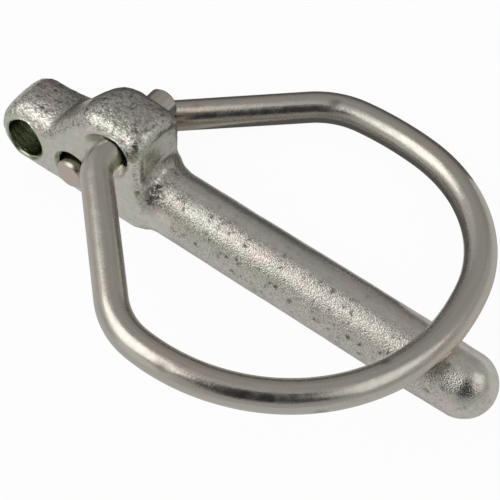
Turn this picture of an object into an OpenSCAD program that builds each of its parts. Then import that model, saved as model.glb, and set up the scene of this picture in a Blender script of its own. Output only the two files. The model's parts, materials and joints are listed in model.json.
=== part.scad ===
// Lynch pin: a forged pin with a cross-drilled head and a sprung wire ring.
// The origin is on the shaft's axis where its full diameter starts, +X runs to the tip
// and +Z is up while the pin lies on a surface, rolled over onto one side of its ring.

/* [Shaft] */
// Diameter of the shaft
shaft_d = 11; // [9:0.5:14]
// Length of the full diameter, from the head's flare to the nose taper
grip_l = 44; // [36:0.2:70]
// Length of the nose, from the end of the full diameter to the tip
nose_l = 14.6; // [12.5:0.1:22]
// How much smaller the nose is in diameter where its round end starts
nose_taper = 0.3; // [0:0.1:0.8]
// Radius of the flare that runs from the shaft into the head
flare_r = 8; // [6.5:0.5:14]

/* [Head] */
// Width of the head across its two flat sides
head_w = 12; // [10:0.5:14]
// Distance from the start of the full diameter back to the head's upright wall
throat_l = 4.3; // [3.5:0.1:5.5]
// Radius of the fillet between that wall and the flare
throat_r = 1.8; // [1:0.1:3]
// Diameter of the round bar that the lug is forged from
lug_d = 14; // [13:0.5:18]
// Height of the lug's middle above the shaft's axis
lug_z = 0.3; // [0:0.1:1]
// Depth of the head below the shaft's axis
head_drop = 5; // [4.6:0.1:6]
// Slope of the lug's back where it starts to rise
ramp_tilt = 18; // [8:1:25]
// Slope of the boss on its lug side
slope_tilt = 47; // [40:1:60]
// Radius of the valley between those slopes, on the head's flat sides
valley_r = 3; // [1:0.5:6]
// Metal between the upper ring hole and the top of the boss, on the head's flat sides
boss_wall = 0.1; // [0.05:0.05:1]
// Distance from the upright wall back to the boss's crest
crest_back = 9.5; // [8:0.1:11.5]
// Radius of the crest, on the head's flat sides
crest_r = 2.5; // [1:0.5:4]
// Fall of the boss's back from its crest to its shaft-side corner
boss_fall = 0.4; // [0:0.1:1]
// Radius of the upright edges of the shaft-side wall
edge_r = 2.2; // [0.5:0.1:3]
// Radius of the boss's back across its width
crown_r = 8.5; // [8:0.1:14]
// Radius of the valley between the lug and the boss, across its width
saddle_r = 13; // [8:0.1:18]

/* [Holes] */
// Diameter of the chain hole
chain_hole_d = 7; // [5:0.1:8]
// Distance from the lower ring hole back to the chain hole
chain_hole_gap = 10.2; // [8.5:0.1:14]
// Height of the chain hole above the shaft's axis
chain_hole_z = 0.9; // [0:0.1:1.5]
// Metal left around the chain hole at the end of the lug
chain_wall = 2.1; // [1.2:0.1:4]
// Width of the chamfers on the holes
hole_chamfer = 0.3; // [0.1:0.05:0.6]
// Clearance all round the wire in its two holes
hole_gap = 0.5; // [0.4:0.05:0.8]
// Distance from the upright wall back to the upper ring hole
upper_hole_back = 5.8; // [5.2:0.1:8]
// Height of the upper ring hole above the shaft's axis
upper_hole_z = 9.9; // [9:0.1:11]
// Distance from the upper ring hole back to the lower one
hole_step_x = 7; // [6:0.1:9]
// Drop from the upper ring hole to the lower one
hole_step_z = 8.7; // [7:0.1:10]
// How much wider than its hole the mouth is where an arm of the ring enters
mouth_flare = 2.6; // [1:0.1:3]
// Depth of that mouth
mouth_l = 2.4; // [1:0.1:4]
// How far the mouth's middle is off the middle of its hole
mouth_shift = 1.6; // [0:0.1:1.8]

/* [Ring] */
// Diameter of the ring's wire
wire_d = 5.2; // [4:0.1:5.4]
// How far the spring of the ring pushes its ends off the middles of their holes
ring_play = 0.3; // [0:0.05:0.4]
// Gap left between the ring and the top of the shaft
ring_gap = 0.1; // [0.05:0.05:1]
// Distance from the end of the grip to the wire's middle where it crosses the shaft
ring_reach = 3.8; // [3:0.1:8]
// How far the ring's far end sits to the back of the shaft
ring_offset = 2.1; // [0:0.1:5]
// Rise of the ring along the shaft, in millimetres for each millimetre
ring_rise = 0.016; // [0:0.002:0.05]
// Rise of the ring from its front side to its back side, in the same way
ring_bank = 0.025; // [0:0.005:0.06]
// Radius of the front side of the ring, from its flank to its far end
front_r = 31.5; // [26:0.5:36]
// Angle that the ring's flanks close in by before their bends
front_toe = 5.7; // [0:0.1:12]
// Radius of the far end, just behind the shaft
end_r = 44.6; // [30:0.1:60]
// Angle of that bend
end_turn = 9.1; // [4:0.1:20]
// Radius of the ring's back corner
back_r = 23.2; // [20:0.1:28]
// Angle of that corner
back_turn = 72.8; // [60:0.1:80]
// Radius of the ring's back side
side_r = 49; // [40:1:80]
// Angle that the back side turns by before its bend
side_turn = 14.1; // [8:0.1:20]
// Radius of the bend from the front side into its arm
front_bend_r = 11.9; // [8:0.1:16]
// Radius of the bend from the back side into its arm
back_bend_r = 17.2; // [10:0.1:20]
// Radius of the bend from each arm into the head
elbow_r = 5.2; // [4:0.1:6]
// Gap between each elbow and the flat side of the head
elbow_gap = 0.5; // [0.2:0.1:2]
// How far the front arm's end stands out of the back of the head
upper_stub_l = 2.8; // [0.5:0.1:5]
// How far the back arm's end stands out of the front of the head
lower_stub_l = 1.2; // [0.5:0.1:5]
// Width of the chamfer on the ends of the wire
wire_chamfer = 0.4; // [0:0.1:1]

/* [Hidden] */
$fn = 96;
fine = 160;
shaft_r = shaft_d / 2;
half_w = head_w / 2;
wire_r = wire_d / 2;
ring_hole_d = wire_d + hole_gap * 2;
elbow_out = wire_r + elbow_gap;
boss_z = upper_hole_z + ring_hole_d / 2 + boss_wall;

// Middles of the three cross holes, seen from the side
upper_hole = [-throat_l - upper_hole_back, upper_hole_z];
lower_hole = upper_hole - [hole_step_x, hole_step_z];
chain_hole = [lower_hole[0] - chain_hole_gap, chain_hole_z];

// The lug's end: a barrel about the chain hole, and the bar's own rounding
end_barrel_r = lug_d / 2;
end_flat_r = chain_hole_d / 2 + chain_wall - 0.85;
end_x = chain_hole[0] - chain_hole_d / 2 - chain_wall;
end_crown_r = 21;

// The head's underside: an arc through the lug's lower corners
lug_corner_z = lug_z - sqrt(pow(lug_d / 2, 2) - pow(half_w, 2));
belly = lug_corner_z + head_drop;
belly_r = (pow(half_w, 2) + pow(belly, 2)) / (2 * belly);

// The lines of the head's back on its flat sides: up the ramp, up the boss, along its top
bar_r = lug_d / 2;
wall_x = -throat_l;
ramp_start = [chain_hole[0] + 0.4, lug_z + sqrt(pow(bar_r, 2) - pow(half_w, 2)) - 0.2];
crest = [wall_x - crest_back, boss_z];
corner = [wall_x, boss_z - boss_fall];
valley = meet(ramp_start, ramp_tilt, crest, slope_tilt);

// Vectors
function unit(v) = v / norm(v);
function toward(a) = [cos(a), sin(a)];
function meet(p, a, q, b) =
    p + toward(a) * ((q[1] - p[1]) * cos(b) - (q[0] - p[0]) * sin(b)) / sin(a - b);
function arc_end(p, heading, r, turn) =
    p + r * [sin(heading + turn) - sin(heading), cos(heading) - cos(heading + turn)];

// The ring's plane, and its bends as [start, heading, radius, turn]
ring_x = grip_l + ring_reach;
ring_z = shaft_r + ring_gap + wire_r;
ring_up = unit([-ring_rise, -ring_bank, 1]);
function on_plane(p) = [p[0], p[1], ring_z + ring_rise * (p[0] - ring_x) + ring_bank * p[1]];
function on_heading(a) =
    unit([cos(a), sin(a), ring_rise * cos(a) + ring_bank * sin(a)]);
far_end = [ring_x, ring_offset];
front_start = far_end - arc_end([0, 0], -front_toe, front_r, 90 + front_toe);
bend_list = [[front_r, 90 + front_toe], [end_r, end_turn], [back_r, back_turn], [side_r, side_turn]];
function bends(i, p, heading) =
    i == len(bend_list)
        ? [[p, heading]]
        : concat(
            [[p, heading, bend_list[i][0], bend_list[i][1]]],
            bends(
                i + 1,
                arc_end(p, heading, bend_list[i][0], bend_list[i][1]),
                heading + bend_list[i][1]
            )
        );
ring_bends = bends(0, front_start, -front_toe);
back_end = ring_bends[len(bend_list)];

// The arms: each leaves its side of the ring by a bend, then runs straight to its elbow
push = ring_play * toward(135);
upper_end = upper_hole + push;
lower_end = lower_hole - push;
front_elbow = [upper_end[0], -half_w - elbow_out, upper_end[1]];
back_elbow = [lower_end[0], half_w + elbow_out, lower_end[1]];
function across(v, dir) = unit(v - (v * dir) * dir);
function arm_reach(v, dir, r) = [v * dir, (v * across(v, dir)) - r];
function arm_run(reach, r) = sqrt(reach * reach - r * r);
function arm_turn(reach, r) = atan2(reach[1], reach[0]) + atan2(r, arm_run(reach, r));

// How far the ring's back side is from the axis, and the roll that lays it on the floor
widest = arc_end(
    ring_bends[3][0],
    ring_bends[3][1],
    side_r,
    180 - ring_bends[3][1]
);
side = on_plane(widest);
side_reach = norm([side[1], side[2]]);
roll = asin((shaft_r - wire_r) / side_reach) + atan2(side[2], side[1]);

// Puts its children at o, with their X along u and their Z along n
module frame_at(o, u, n)
{
    v = cross(n, u);
    translate(o)
        rotate([atan2(v[2], n[2]), -asin(u[2]), atan2(u[1], u[0])])
            children();
}

// A length of wire that starts at p and runs along dir
module straight_wire(p, dir, length)
{
    translate(p)
        rotate([0, acos(dir[2]), atan2(dir[1], dir[0])])
            cylinder(h = length, d = wire_d);
}

// A straight length of wire that starts at p and runs along dir to its chamfered end
module wire_end(p, dir, length)
{
    translate(p)
        rotate([0, acos(dir[2]), atan2(dir[1], dir[0])])
            rotate_extrude()
                polygon([
                    [0, 0],
                    [wire_r, 0],
                    [wire_r, length - wire_chamfer],
                    [wire_r - wire_chamfer, length],
                    [0, length]
                ]);
}

// A ball that joins two lengths of wire at p, its poles along dir, inside them. It is a hair
// wider than the wire so that it covers their ends.
module wire_joint(p, dir)
{
    translate(p)
        rotate([0, acos(dir[2]), atan2(dir[1], dir[0])])
            rotate([0, 0, 40]) sphere(d = wire_d + 0.03, $fn = 64);
}

// A bend that starts at p along dir and turns towards the side that n points to
module bent_wire(p, dir, n, r, turn)
{
    frame_at(p + r * n, -n, cross(dir, n))
        rotate_extrude(angle = turn, $fn = fine)
            translate([r, 0])
                circle(d = wire_d, $fn = 48);
}

// A cylinder along +X
module bar(x, length, r)
{
    translate([x, 0, 0])
        rotate([0, 90, 0])
            cylinder(h = length, r = r, $fn = fine);
}

// A barrel about an axis along Y: flat_r wide at the head's flats, crowned between
module barrel(flat_r, crown)
{
    drop = crown_fall(crown);
    rotate([90, 0, 0])
        rotate_extrude($fn = fine)
            intersection() {
                translate([flat_r + drop - crown, 0])
                    circle(r = crown, $fn = fine);
                translate([0, -half_w])
                    square([flat_r + drop, head_w]);
            }
}

// Everything of the head lies between its flats and above its underside
module head_limits()
{
    long = -end_x + 20;
    intersection() {
        translate([end_x - 5, -half_w, -head_drop - 1])
            cube([long, head_w, head_drop + boss_z * 2]);
        translate([0, 0, belly_r - head_drop])
            bar(end_x - 5, long, belly_r);
    }
}

// The lug: a round bar with an end that follows the chain hole
module lug()
{
    translate([0, 0, lug_z])
        bar(chain_hole[0] + 1, wall_x - chain_hole[0] - 1.3, bar_r);
    intersection() {
        translate([0, 0, lug_z])
            bar(end_x - 1, end_barrel_r * 2, bar_r);
        translate([chain_hole[0], 0, chain_hole[1]])
            barrel(end_flat_r, 9.1);
        translate([end_x + end_barrel_r, 0, lug_z])
            barrel(end_barrel_r - 0.85, end_crown_r);
    }
}

// How much a crown of radius r falls from the middle of the head to its flat sides
function crown_fall(r) = r - sqrt(pow(r, 2) - pow(half_w, 2));

// A round bar of radius r along the line from p to q, level with that line at the flat sides,
// lengthened by before at p and by after at q
module back_bar(p, q, r, before, after)
{
    run = q - p;
    translate([p[0], 0, p[1]])
        rotate([0, -atan2(run[1], run[0]), 0])
            translate([-before, 0, crown_fall(r) - r])
                bar(0, norm(run) + before + after, r);
}

// The boss's shaft-side wall, upright, with both of its edges rounded
module wall_limits()
{
    tall = boss_z + head_drop + 5;
    inner_w = half_w - edge_r;
    translate([0, 0, -head_drop - 1]) {
        translate([end_x, -half_w, 0])
            cube([-throat_l - edge_r - end_x, head_w, tall]);
        translate([end_x, -inner_w, 0])
            cube([-throat_l - end_x, inner_w * 2, tall]);
        for (side = [-1, 1])
            translate([-throat_l - edge_r, side * inner_w, 0])
                cylinder(h = tall, r = edge_r);
    }
}

// The boss seen from the side, with its crest, its corner and the valley rounded
module boss_outline()
{
    rise = crown_fall(crown_r) * 0.8;
    offset(r = -valley_r, $fn = 60)
        offset(r = valley_r, $fn = 60)
            offset(r = crest_r, $fn = 60)
                offset(delta = -crest_r)
                    polygon([
                        ramp_start + [0, rise],
                        valley + rise * toward(ramp_tilt + 100),
                        crest + rise * toward(115),
                        corner + [0, rise],
                        [wall_x, -head_drop - 1],
                        [ramp_start[0], -head_drop - 1]
                    ]);
}

// The boss: its outline across the head, crowned from one flat side to the other
module boss()
{
    across_valley = valley_r * 0.5;
    past_crest = crown_fall(crown_r) * tan(slope_tilt / 2);
    intersection() {
        rotate([90, 0, 0])
            translate([0, 0, -half_w - 1])
                linear_extrude(height = head_w + 2)
                    boss_outline();
        union() {
            back_bar(ramp_start, valley, saddle_r, 5, 5);
            back_bar(
                valley - across_valley * toward(ramp_tilt),
                valley + across_valley * toward(slope_tilt),
                saddle_r,
                5,
                5
            );
            back_bar(valley, crest, crown_r, 5, past_crest);
            back_bar(crest, corner, crown_r, past_crest, 5);
        }
    }
}

// Radius of the flare at x
function flare_at(x) = shaft_r + flare_r - sqrt(pow(flare_r, 2) - pow(x, 2));

// The flare, round about the shaft, with the throat's fillet up to the head's wall
module flare()
{
    wall = -throat_l;
    fillet_end = wall + throat_r;
    foot_r = flare_at(fillet_end);
    rotate([0, 90, 0])
        rotate_extrude($fn = fine)
            polygon(concat(
                [[0, wall - edge_r], [flare_at(wall), wall - edge_r]],
                [for (i = [0:12])
                    let (x = wall * (1 - i / 12))
                    [flare_at(x), x]],
                [[0, 0]]
            ));
    intersection() {
        translate([throat_r, 0, 0])
            wall_limits();
        rotate([0, 90, 0])
            rotate_extrude($fn = fine)
                polygon(concat(
                    [[0, wall - edge_r], [foot_r + throat_r, wall - edge_r]],
                    [for (a = [0:9:90])
                        [foot_r + throat_r * (1 - sin(a)), wall + throat_r * (1 - cos(a))]],
                    [[0, fillet_end]]
                ));
    }
}

module shaft()
{
    nose_r = shaft_r - nose_taper / 2;
    round_x = grip_l + nose_l - nose_r;
    bar(0, grip_l, shaft_r);
    translate([grip_l, 0, 0])
        rotate([0, 90, 0])
            cylinder(h = round_x - grip_l, r1 = shaft_r, r2 = nose_r, $fn = fine);
    translate([round_x, 0, 0])
        rotate([0, 90, 0])
            sphere(r = nose_r, $fn = fine);
    // The root narrows until it is inside the head
    translate([-8, 0, 0])
        rotate([0, 90, 0])
            cylinder(h = 8, r1 = shaft_r - 1, r2 = shaft_r, $fn = fine);
}

// A hole through the head along Y, with a chamfer at each flat side
module cross_hole(at, d)
{
    translate([at[0], 0, at[1]])
        rotate([90, 0, 0]) {
            cylinder(h = head_w + 8, d = d, center = true, $fn = fine);
            for (side = [-1, 1])
                mirror([0, 0, side < 0 ? 1 : 0])
                    translate([0, 0, half_w - hole_chamfer])
                        cylinder(
                            h = hole_chamfer * 2,
                            d1 = d,
                            d2 = d + hole_chamfer * 4,
                            $fn = fine
                        );
        }
}

// The wide mouth where an arm enters, on the side that y_side gives
module mouth(at, y_side)
{
    narrow_d = ring_hole_d - 1;
    slope = (ring_hole_d + mouth_flare - narrow_d) / mouth_l;
    translate([at[0], y_side * half_w, at[1]])
        rotate([90 * y_side, 0, 0])
            translate([0, 0, -1])
                cylinder(
                    h = mouth_l + 1,
                    d1 = narrow_d + slope * (mouth_l + 1),
                    d2 = narrow_d,
                    $fn = fine
                );
}

module pin()
{
    color("lightslategray")
        rotate([-roll, 0, 0])
            difference() {
                union() {
                    shaft();
                    intersection() {
                        head_limits();
                        union() {
                            lug();
                            intersection() {
                                wall_limits();
                                boss();
                            }
                            flare();
                        }
                    }
                }
                cross_hole(chain_hole, chain_hole_d);
                cross_hole(upper_hole, ring_hole_d);
                cross_hole(lower_hole, ring_hole_d);
                mouth(upper_hole + mouth_shift * toward(225), -1);
                mouth(lower_hole + mouth_shift * toward(45), 1);
            }
}

// One arm of the ring: its flank bend, its straight run, its elbow and its end in the head
module arm(p, dir, elbow, r, inward, stub_l)
{
    n = across(elbow - p, dir);
    reach = arm_reach(elbow - p, dir, r);
    turn = arm_turn(reach, r);
    run = cos(turn) * dir + sin(turn) * n;
    run_start = p + r * (sin(turn) * dir + (1 - cos(turn)) * n);
    elbow_turn = acos(run * inward);
    elbow_l = elbow_r * tan(elbow_turn / 2);
    end_l = elbow_out + head_w + stub_l - elbow_l;
    wire_joint(p, dir);
    bent_wire(p, dir, n, r, turn);
    wire_joint(run_start, run);
    straight_wire(run_start, run, arm_run(reach, r) - elbow_l);
    wire_joint(elbow - elbow_l * run, run);
    bent_wire(elbow - elbow_l * run, run, across(inward, run), elbow_r, elbow_turn);
    wire_joint(elbow + elbow_l * inward, inward);
    wire_end(elbow + elbow_l * inward, inward, end_l);
}

module ring()
{
    color("darkkhaki")
        rotate([-roll, 0, 0]) union() {
            for (b = ring_bends)
                if (len(b) == 4) {
                    wire_joint(on_plane(b[0]), on_heading(b[1]));
                    bent_wire(
                        on_plane(b[0]),
                        on_heading(b[1]),
                        cross(ring_up, on_heading(b[1])),
                        b[2],
                        b[3]
                    );
                }
            arm(
                on_plane(front_start),
                -on_heading(-front_toe),
                front_elbow,
                front_bend_r,
                [0, 1, 0],
                upper_stub_l
            );
            arm(
                on_plane(back_end[0]),
                on_heading(back_end[1]),
                back_elbow,
                back_bend_r,
                [0, -1, 0],
                lower_stub_l
            );
        }
}

pin();
ring();
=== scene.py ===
"""A lynch pin: a zinc-plated forging with a sprung wire ring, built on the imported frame."""

import json
import math
from types import SimpleNamespace

import bpy
import numpy as np
from bpy.props import FloatProperty, FloatVectorProperty, PointerProperty
from mathutils import Matrix, Vector


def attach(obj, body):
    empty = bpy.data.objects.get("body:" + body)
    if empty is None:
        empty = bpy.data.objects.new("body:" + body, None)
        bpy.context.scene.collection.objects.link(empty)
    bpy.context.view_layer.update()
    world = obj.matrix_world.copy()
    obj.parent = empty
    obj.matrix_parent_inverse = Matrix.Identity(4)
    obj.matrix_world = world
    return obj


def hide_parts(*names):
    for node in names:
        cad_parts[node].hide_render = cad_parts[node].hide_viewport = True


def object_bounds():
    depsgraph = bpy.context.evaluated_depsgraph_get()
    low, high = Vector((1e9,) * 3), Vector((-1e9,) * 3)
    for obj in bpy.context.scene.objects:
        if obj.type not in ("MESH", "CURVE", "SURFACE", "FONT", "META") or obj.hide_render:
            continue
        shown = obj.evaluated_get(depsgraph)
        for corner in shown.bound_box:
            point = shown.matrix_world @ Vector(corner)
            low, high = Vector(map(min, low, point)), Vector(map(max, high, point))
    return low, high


bl_info = {
    "name": "Lynch pin",
    "version": (1, 0, 0),
    "blender": (4, 5, 0),
    "location": "3D View > Sidebar > Lynch pin",
    "description": "Builds a forged lynch pin and its wire ring on their frame",
    "category": "Mesh",
}

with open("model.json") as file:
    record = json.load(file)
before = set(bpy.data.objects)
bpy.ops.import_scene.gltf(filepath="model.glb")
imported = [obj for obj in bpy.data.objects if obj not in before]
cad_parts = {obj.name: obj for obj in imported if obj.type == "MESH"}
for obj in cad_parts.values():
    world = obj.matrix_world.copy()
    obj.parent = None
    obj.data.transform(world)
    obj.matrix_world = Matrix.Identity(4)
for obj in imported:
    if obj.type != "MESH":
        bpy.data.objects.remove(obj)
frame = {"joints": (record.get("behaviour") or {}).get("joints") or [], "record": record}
CAD_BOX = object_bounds()
MM = 0.001

# The pin's own axes: along the shaft, across the head, and up the head
SWING = frame["joints"][0]
ACROSS = -np.array(SWING["axis"], float)
UP = np.cross([1.0, 0.0, 0.0], ACROSS)
PIN_AXES = np.array([[1.0, 0.0, 0.0], ACROSS, UP])


def to_row(points):
    """Points in the pin's own axes, in millimetres, as row positions in metres."""
    return points @ PIN_AXES * MM


def to_pin(points):
    """Row positions in metres as points in the pin's own axes, in millimetres."""
    return np.asarray(points, float) @ PIN_AXES.T / MM


MOUNTS = {mount["name"]: mount for mount in frame["record"]["mounts"]}
SHAFT = MOUNTS["shaft"]["dims"]
CHAIN_HOLE = to_pin(MOUNTS["chain_hole"]["pos_m"])
CHAIN_HOLE_R = MOUNTS["chain_hole"]["dims"]["r_mm"]


# -------------------- settings


class ForgingSizes(bpy.types.PropertyGroup):
    """Sizes of the forged pin"""

    shaft_d: FloatProperty(
        name="Shaft", description="Diameter of the shaft",
        default=2 * SHAFT["r_mm"] * MM, unit="LENGTH",
    )
    grip_l: FloatProperty(
        name="Grip", description="Length of the full diameter",
        default=SHAFT["length_mm"] * MM, unit="LENGTH",
    )
    nose_l: FloatProperty(
        name="Nose", description="Length from the grip's end to the tip",
        default=14.6 * MM, unit="LENGTH",
    )
    head_w: FloatProperty(
        name="Head", description="Width of the head across its flat sides",
        default=12.0 * MM, unit="LENGTH",
    )
    lug_d: FloatProperty(
        name="Lug", description="Diameter of the bar that the lug is forged from",
        default=14.0 * MM, unit="LENGTH",
    )
    mesh_step: FloatProperty(
        name="Mesh step", description="Size of the mesh cells",
        default=0.25 * MM, min=0.2 * MM, unit="LENGTH",
    )
    grain: FloatProperty(
        name="Grain", description="Depth of the blasted grain",
        default=0.035 * MM, unit="LENGTH",
    )
    dents: FloatProperty(
        name="Dents", description="Depth of the forging's hollows and lumps",
        default=0.1 * MM, unit="LENGTH",
    )


class RingSizes(bpy.types.PropertyGroup):
    """Sizes of the wire ring"""

    wire_d: FloatProperty(
        name="Wire", description="Diameter of the wire",
        default=5.2 * MM, unit="LENGTH",
    )
    chamfer: FloatProperty(
        name="Chamfer", description="Width of the chamfer on the cut ends",
        default=0.4 * MM, unit="LENGTH",
    )


class Finishes(bpy.types.PropertyGroup):
    """Colours of the metals"""

    zinc: FloatVectorProperty(
        name="Zinc", description="Plated forging",
        subtype="COLOR", default=(0.72, 0.69, 0.63),
    )
    zinc_green: FloatVectorProperty(
        name="Green tint", description="Greenish passivation",
        subtype="COLOR", default=(0.61, 0.665, 0.53),
    )
    zinc_pink: FloatVectorProperty(
        name="Pink tint", description="Pinkish passivation",
        subtype="COLOR", default=(0.75, 0.645, 0.60),
    )
    zinc_dull: FloatVectorProperty(
        name="Dull patches", description="Duller patches in the plating",
        subtype="COLOR", default=(0.40, 0.39, 0.36),
    )
    # Painted shade: this colour stands in for the shade between the grains of the blasted skin
    crease_shade: FloatVectorProperty(
        name="Creases", description="Between the grains of the blasted skin",
        subtype="COLOR", default=(0.14, 0.12, 0.085),
    )
    # Painted shade with grime in hollows and where the shaft meets the head, and grime in pits and in the
    # wire's nicks
    dirt_and_shade: FloatVectorProperty(
        name="Dirt", description="Dark residue in hollows and pits",
        subtype="COLOR", default=(0.035, 0.04, 0.025),
    )
    bore_dark: FloatVectorProperty(
        name="Drill grooves", description="Grooves that the drill left in the holes",
        subtype="COLOR", default=(0.13, 0.17, 0.07),
    )
    bore_light: FloatVectorProperty(
        name="Drilled holes", description="Plating in the holes, between the grooves",
        subtype="COLOR", default=(0.44, 0.5, 0.34),
    )
    wire: FloatVectorProperty(
        name="Wire", description="Drawn and plated wire",
        subtype="COLOR", default=(0.575, 0.552, 0.49),
    )
    wire_warm: FloatVectorProperty(
        name="Warm tint", description="Warm tint along the wire",
        subtype="COLOR", default=(0.61, 0.53, 0.465),
    )
    wire_marks: FloatVectorProperty(
        name="Drawing marks", description="Marks that the die left along the wire",
        subtype="COLOR", default=(0.38, 0.36, 0.33),
    )


class StudioSettings(bpy.types.PropertyGroup):
    """Camera and light"""

    camera_at: FloatVectorProperty(
        name="Camera", description="Where the camera stands",
        subtype="TRANSLATION", unit="LENGTH", default=(0.07344, -0.04946, 0.21256),
    )
    lens: FloatProperty(
        name="Lens", description="Focal length in millimetres", unit="CAMERA", default=103.05,
    )
    key: FloatProperty(
        name="Key", description="Strength of the key softbox, where 1 is white", default=1.5,
    )
    fill: FloatProperty(
        name="Fill", description="Strength of the fill softbox, where 1 is white", default=0.68,
    )


def settings():
    return bpy.context.scene.lynch_pin


def own_properties(group):
    """Names of the settings that a group holds."""
    return [key for key in group.bl_rna.properties.keys() if key not in ("rna_type", "name")]


def in_mm(group):
    """A group's sizes in millimetres, under their own names."""
    return SimpleNamespace(**{key: round(getattr(group, key) / MM, 4) for key in own_properties(group)})


# -------------------- noise


CELL_SCATTER = np.array([73856093, 19349663, 83492791])     # large numbers that scatter the cells
SEED_SCATTER = 2654435761
STIRS = ((15, 2246822519), (13, 3266489917))
LOW_32 = 0xFFFFFFFF


def hashed(cell, seed):
    """A number from 0 to 1 for each whole-numbered cell."""
    h = (np.bitwise_xor.reduce(cell * CELL_SCATTER, axis=-1) ^ (seed * SEED_SCATTER)) & LOW_32
    for shift, scatter in STIRS:
        h = ((h ^ (h >> shift)) * scatter) & LOW_32
    return (h ^ (h >> 16)) / (LOW_32 + 1.0)


def smooth_noise(points, seed):
    """Gradient noise, about -1 to 1, with one feature to each unit."""
    cell = np.floor(points).astype(np.int64)
    part = points - cell
    ease = part * part * part * (part * (part * 6 - 15) + 10)
    total = np.zeros(len(points))
    for corner in np.ndindex(2, 2, 2):
        corner = np.array(corner)
        at = cell + corner
        slope = np.stack([hashed(at, seed + k) for k in (1, 2, 3)], -1) * 2 - 1
        weight = np.prod(np.where(corner, ease, 1 - ease), axis=-1)
        total += weight * (slope * (part - corner)).sum(-1)
    return total * 1.4


def layered_noise(points, seed, layers=3, gain=0.5):
    """Noise summed over finer and finer layers."""
    total, size, norm = np.zeros(len(points)), 1.0, 0.0
    for layer in range(layers):
        total += size * smooth_noise(points * 2.0**layer, seed + 17 * layer)
        norm += size
        size *= gain
    return total / norm


def pits(points, seed, fill):
    """Round pits, 1 at the middle of each and 0 between them. fill is the share of cells with one."""
    cell = np.floor(points).astype(np.int64)
    deepest = np.zeros(len(points))
    for step in np.ndindex(3, 3, 3):
        at = cell + np.array(step) - 1
        middle = at + np.stack([hashed(at, seed + k) for k in (4, 5, 6)], -1)
        there = hashed(at, seed + 7)
        reach = 0.25 + 0.45 * hashed(at, seed + 8)
        near = np.linalg.norm(points - middle, axis=-1) / reach
        deepest = np.maximum(deepest, np.where(there < fill, np.clip(1 - near * near, 0, 1), 0))
    return deepest


# -------------------- solid fields
# Each field gives the distance from a surface in millimetres, negative inside.


def round_max(a, b, r):
    """Where both solids are, their outer edge rounded by r."""
    u, v = np.maximum(a + r, 0), np.maximum(b + r, 0)
    return np.minimum(np.maximum(a, b), -r) + np.sqrt(u * u + v * v)


def round_min(a, b, r):
    """Where either solid is, the crease between them filled by r."""
    return -round_max(-a, -b, r)


def ramp(x, low, high):
    """0 up to low and 1 from high, eased between them."""
    t = np.clip((x - low) / (high - low), 0, 1)
    return t * t * (3 - 2 * t)


def crown_fall(r, half):
    """How much a crown of radius r falls from the middle to the flat sides."""
    return r - math.sqrt(r * r - half * half)


def crowned_back(x, y, z, at, tilt, half):
    """The back of a round bar along a line tilted in the side view, level with it at the flats."""
    a = math.radians(tilt)
    above = (z - at[1]) * math.cos(a) - (x - at[0]) * math.sin(a)
    above = np.maximum(above - crown_fall(BACK_R, half) + BACK_R, 0)
    return np.sqrt(y * y + above * above) - BACK_R


def barrel(along, y, z, flat_r, crown, half):
    """A barrel about an axis across the head, flat_r at the flats and crowned between."""
    middle = flat_r + crown_fall(crown, half) - crown
    reach = np.sqrt(along * along + z * z) - middle
    return np.where(reach > 0, np.sqrt(reach * reach + y * y), np.abs(y)) - crown


# -------------------- the forging's form
# Lengths in millimetres and tilts in degrees, in the pin's own axes. Along the shaft they start
# where the grip meets the head, and the head is on the negative side. Each _R is a radius.

THROAT = 4.3            # from the full diameter back to the head's upright wall
FLARE_R = 9.0           # the shaft widens towards the wall along this
FLARE_END = 9.0         # how far the turned flare reaches into the head
THROAT_R = 1.5          # fills the crease between the flare and the wall
NOSE_TAPER = 0.15       # the nose is this much under the shaft's radius

LUG_Z = 0.3             # middle of the lug's bar
LUG_END = (4.75, 9.1)   # barrel about the chain hole: radius at the flats, and crown
LUG_TIP_X = -26.2       # middle of the barrel that blunts the lug's end
LUG_TIP_CUT = 0.7       # that barrel is this much under the bar's radius
LUG_TIP_CROWN = 21.0
LUG_CORNER_R = 0.8      # between the lug's two barrels
LUG_EDGE_R = 1.2        # between the bar and its end

BACK_R = 11.0           # crown across the boss's back
RAMP_AHEAD = 0.4        # the ramp starts this far from the chain hole towards the tip
RAMP_SUNK = 0.2         # and this far under the top of the lug's flat sides
RAMP_BEHIND = 3.0       # how far the boss reaches back past that start
RAMP_TILT = 19.0
CREST_BEHIND = 10.6     # from the wall back to the crest
SLOPE_TILT = 52.0
SLOPE_SKEW = 0.16       # the slope is not quite square to the shaft
BOSS_TOP = 13.7
TOP_FALL = 0.6          # the top is this much lower at the wall
TOP_TILT = -3.6
CREST_R = 1.8
RAMP_FILL_R = 0.6       # between the ramp and the slope
BOSS_FILL_R = 0.8       # between the lug and the boss

WALL_DRAFT = 0.09       # how far the wall leans back for each millimetre up
WALL_Z = 6.0            # height at which the wall stands at the throat
WALL_EDGE_R = 2.2       # the wall's upright edges
WALL_TOP_R = 2.3

BELLY_DEPTH = 5.0       # lowest line of the head's round underside
BELLY_FREED = 3.0       # the underside's cut lets go of the shaft by this
BELLY_EDGE_R = 0.9
FLAT_EDGE_R = 0.3       # edges of the flat sides
NO_R = 1e-3             # as good as sharp

UPPER_HOLE = np.array([-10.1, 9.9])     # the ring's two holes, in the side view
LOWER_HOLE = np.array([-17.1, 1.2])
RING_HOLE_R = 3.1
HOLE_CHAMFER = 0.55
MOUTH_R = 4.4           # wide mouths where the wire enters, cut at a slant
MOUTH_SHIFT = 1.13      # off the hole's middle, as much along as up
MOUTH_SLANT = 0.75      # how much a mouth narrows for each millimetre in
MOUTH_DEPTH = 2.6
MOUTH_EDGE_R = 0.45


def bar_half_height(s):
    """Height over the middle of the lug's bar at which its flat sides end."""
    return math.sqrt((s.lug_d / 2) ** 2 - (s.head_w / 2) ** 2)


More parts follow.
